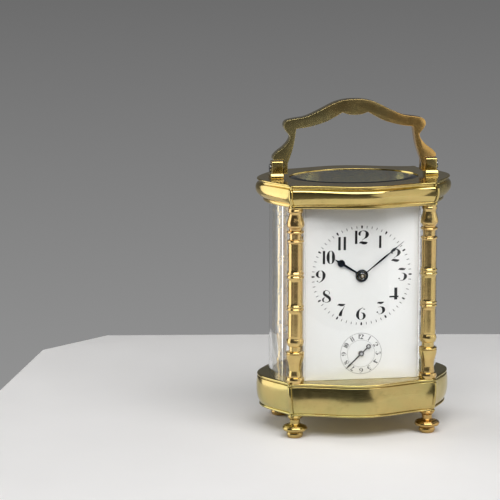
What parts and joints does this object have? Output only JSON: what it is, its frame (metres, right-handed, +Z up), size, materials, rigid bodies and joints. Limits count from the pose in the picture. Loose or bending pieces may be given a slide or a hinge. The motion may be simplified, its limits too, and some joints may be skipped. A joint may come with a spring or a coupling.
{
  "type": "carriage clock",
  "caption": "Small bowed brass carriage clock with serpentine mouldings, turned pillars, glazed sides, white dial with alarm sub-dial, folding handle and a geared alarm movement.",
  "frame": {"origin": "on the floor under the middle of the case", "axes": "+X to the viewer's right, +Y towards the back door, +Z up; the dial faces -Y"},
  "size_m": [0.092, 0.0698, 0.154],
  "materials": {
    "case_brass": "polished and aged cast brass, tarnished in the hollows",
    "movement_brass": "brushed gilt brass",
    "steel": "polished steel",
    "blued_steel": "heat-blued steel",
    "case_glass": "clear glass with polished edges",
    "top_glass": "clear bevelled glass",
    "dial_enamel": "glossy white enamel with fired black numerals"
  },
  "bodies": {
    "case": {"base_plinth": "case_brass", "floor_plate": "case_brass", "foot_front_left": "case_brass", "foot_front_right": "case_brass", "foot_back_left": "case_brass", "foot_back_right": "case_brass", "pillar_front_left": "case_brass", "pillar_front_right": "case_brass", "pillar_back_left": "case_brass", "pillar_back_right": "case_brass", "cornice": "case_brass", "top_glass": "top_glass", "front_glass": "case_glass", "left_glass": "case_glass", "right_glass": "case_glass", "dial": "dial_enamel", "handle_bracket_left": "case_brass", "handle_bracket_right": "case_brass", "handle_screws": "steel", "door_pins": "steel", "front_plate": "movement_brass", "back_plate": "movement_brass", "plate_pillars": "movement_brass", "plate_screws": "steel", "platform": "movement_brass", "balance_cock": "movement_brass", "escape_bridge": "movement_brass", "click_springs": "steel", "bell": "movement_brass"},
    "handle": {"handle": "case_brass"},
    "door": {"door_frame": "case_brass", "door_glass": "case_glass"},
    "latch": {"door_knob": "case_brass"},
    "center": {"center_wheel": "movement_brass", "cannon_pinion": "steel", "minute_hand": "blued_steel"},
    "hour": {"hour_wheel": "movement_brass", "hour_hand": "blued_steel"},
    "minute_wheel": {"minute_wheel": "movement_brass"},
    "alarm_idler": {"alarm_idler": "movement_brass"},
    "alarm_wheel": {"alarm_wheel": "movement_brass"},
    "alarm_setting": {"alarm_arbor": "steel", "alarm_hand": "steel"},
    "barrel": {"going_barrel": "movement_brass", "mainspring": "blued_steel"},
    "winding": {"winding_arbor": "steel", "ratchet_wheel": "steel"},
    "click": {"click": "steel"},
    "third": {"third_wheel": "movement_brass"},
    "contrate": {"contrate_wheel": "movement_brass"},
    "escape": {"escape_wheel": "movement_brass"},
    "lever": {"pallet_lever": "steel"},
    "balance": {"balance_wheel": "movement_brass", "hairspring": "blued_steel"},
    "index": {"regulator_index": "steel"},
    "alarm_barrel": {"alarm_barrel": "movement_brass"},
    "alarm_winding": {"alarm_winding_arbor": "steel"},
    "alarm_click": {"alarm_click": "steel"},
    "alarm_star": {"alarm_star": "steel"},
    "hammer": {"hammer": "steel"}
  },
  "joints": [
    {"name": "handle_fold", "type": "hinge", "parent": "case", "child": "handle", "pos_m": [0, 0, 0.1226], "axis": [1, 0, 0], "range_deg": [-88, 88]},
    {"name": "door_swing", "type": "hinge", "parent": "case", "child": "door", "pos_m": [0.0252, 0.02256, 0.066], "axis": [0, 0, 1], "range_deg": [-95, 0]},
    {"name": "latch_turn", "type": "hinge", "parent": "door", "child": "latch", "pos_m": [-0.0234, 0.02, 0.066], "axis": [0, 1, 0], "range_deg": [0, 90]},
    {"name": "center_turn", "type": "hinge", "parent": "case", "child": "center", "pos_m": [0, 0, 0.0747], "axis": [0, 1, 0], "continuous": true},
    {"name": "hour_turn", "type": "hinge", "parent": "case", "child": "hour", "pos_m": [0, 0, 0.0747], "axis": [0, 1, 0], "continuous": true},
    {"name": "minute_wheel_turn", "type": "hinge", "parent": "case", "child": "minute_wheel", "pos_m": [-0.0125, 0, 0.0747], "axis": [0, 1, 0], "continuous": true},
    {"name": "alarm_idler_turn", "type": "hinge", "parent": "case", "child": "alarm_idler", "pos_m": [0, 0, 0.05635], "axis": [0, 1, 0], "continuous": true},
    {"name": "alarm_wheel_turn", "type": "hinge", "parent": "case", "child": "alarm_wheel", "pos_m": [0, 0, 0.038], "axis": [0, 1, 0], "continuous": true},
    {"name": "barrel_turn", "type": "hinge", "parent": "case", "child": "barrel", "pos_m": [-0.00752, 0, 0.05921], "axis": [0, 1, 0], "continuous": true},
    {"name": "third_turn", "type": "hinge", "parent": "case", "child": "third", "pos_m": [0.01048, 0, 0.06591], "axis": [0, 1, 0], "continuous": true},
    {"name": "contrate_turn", "type": "hinge", "parent": "case", "child": "contrate", "pos_m": [0.01334, 0, 0.07781], "axis": [0, 1, 0], "continuous": true},
    {"name": "escape_turn", "type": "hinge", "parent": "case", "child": "escape", "pos_m": [0.01334, -0.0012, 0.091], "axis": [0, 0, 1], "continuous": true},
    {"name": "winding_turn", "type": "hinge", "parent": "case", "child": "winding", "pos_m": [-0.00752, 0, 0.05921], "axis": [0, 1, 0], "continuous": true},
    {"name": "click_lift", "type": "hinge", "parent": "case", "child": "click", "pos_m": [-0.01772, 0, 0.05571], "axis": [0, 1, 0], "range_deg": [-15, 0], "stiffness_Nm_per_rad": 0.0001},
    {"name": "alarm_set", "type": "hinge", "parent": "case", "child": "alarm_setting", "pos_m": [0, 0, 0.038], "axis": [0, 1, 0], "continuous": true},
    {"name": "alarm_barrel_turn", "type": "hinge", "parent": "case", "child": "alarm_barrel", "pos_m": [0.0145, 0, 0.045], "axis": [0, 1, 0], "continuous": true},
    {"name": "alarm_star_turn", "type": "hinge", "parent": "case", "child": "alarm_star", "pos_m": [0.01206, 0, 0.03522], "axis": [0, 1, 0], "continuous": true},
    {"name": "alarm_winding_turn", "type": "hinge", "parent": "case", "child": "alarm_winding", "pos_m": [0.0145, 0, 0.045], "axis": [0, 1, 0], "continuous": true},
    {"name": "alarm_click_lift", "type": "hinge", "parent": "case", "child": "alarm_click", "pos_m": [0.0089, 0, 0.0514], "axis": [0, 1, 0], "range_deg": [-15, 0], "stiffness_Nm_per_rad": 0.0001},
    {"name": "hammer_strike", "type": "hinge", "parent": "case", "child": "hammer", "pos_m": [0.013, 0, 0.0294], "axis": [0, 1, 0], "range_deg": [-6, 4]},
    {"name": "balance_swing", "type": "hinge", "parent": "case", "child": "balance", "pos_m": [0, -0.0012, 0.0945], "axis": [0, 0, 1], "range_deg": [-270, 270], "stiffness_Nm_per_rad": 0.0000075},
    {"name": "lever_rock", "type": "hinge", "parent": "case", "child": "lever", "pos_m": [0.008, -0.0012, 0.091], "axis": [0, 0, 1], "range_deg": [-5, 5]},
    {"name": "index_turn", "type": "hinge", "parent": "case", "child": "index", "pos_m": [0, -0.0012, 0.098], "axis": [0, 0, 1], "range_deg": [-20, 20]}
  ],
  "couplings": [
    {"joint": "hour_turn", "follows": "center_turn", "ratio": 0.083333},
    {"joint": "minute_wheel_turn", "follows": "center_turn", "ratio": -0.33333},
    {"joint": "alarm_idler_turn", "follows": "center_turn", "ratio": -0.10101},
    {"joint": "alarm_wheel_turn", "follows": "center_turn", "ratio": 0.083333},
    {"joint": "barrel_turn", "follows": "center_turn", "ratio": -0.13889},
    {"joint": "third_turn", "follows": "center_turn", "ratio": -8},
    {"joint": "contrate_turn", "follows": "center_turn", "ratio": 60},
    {"joint": "escape_turn", "follows": "center_turn", "ratio": 600},
    {"joint": "alarm_star_turn", "follows": "alarm_barrel_turn", "ratio": -6}
  ]
}
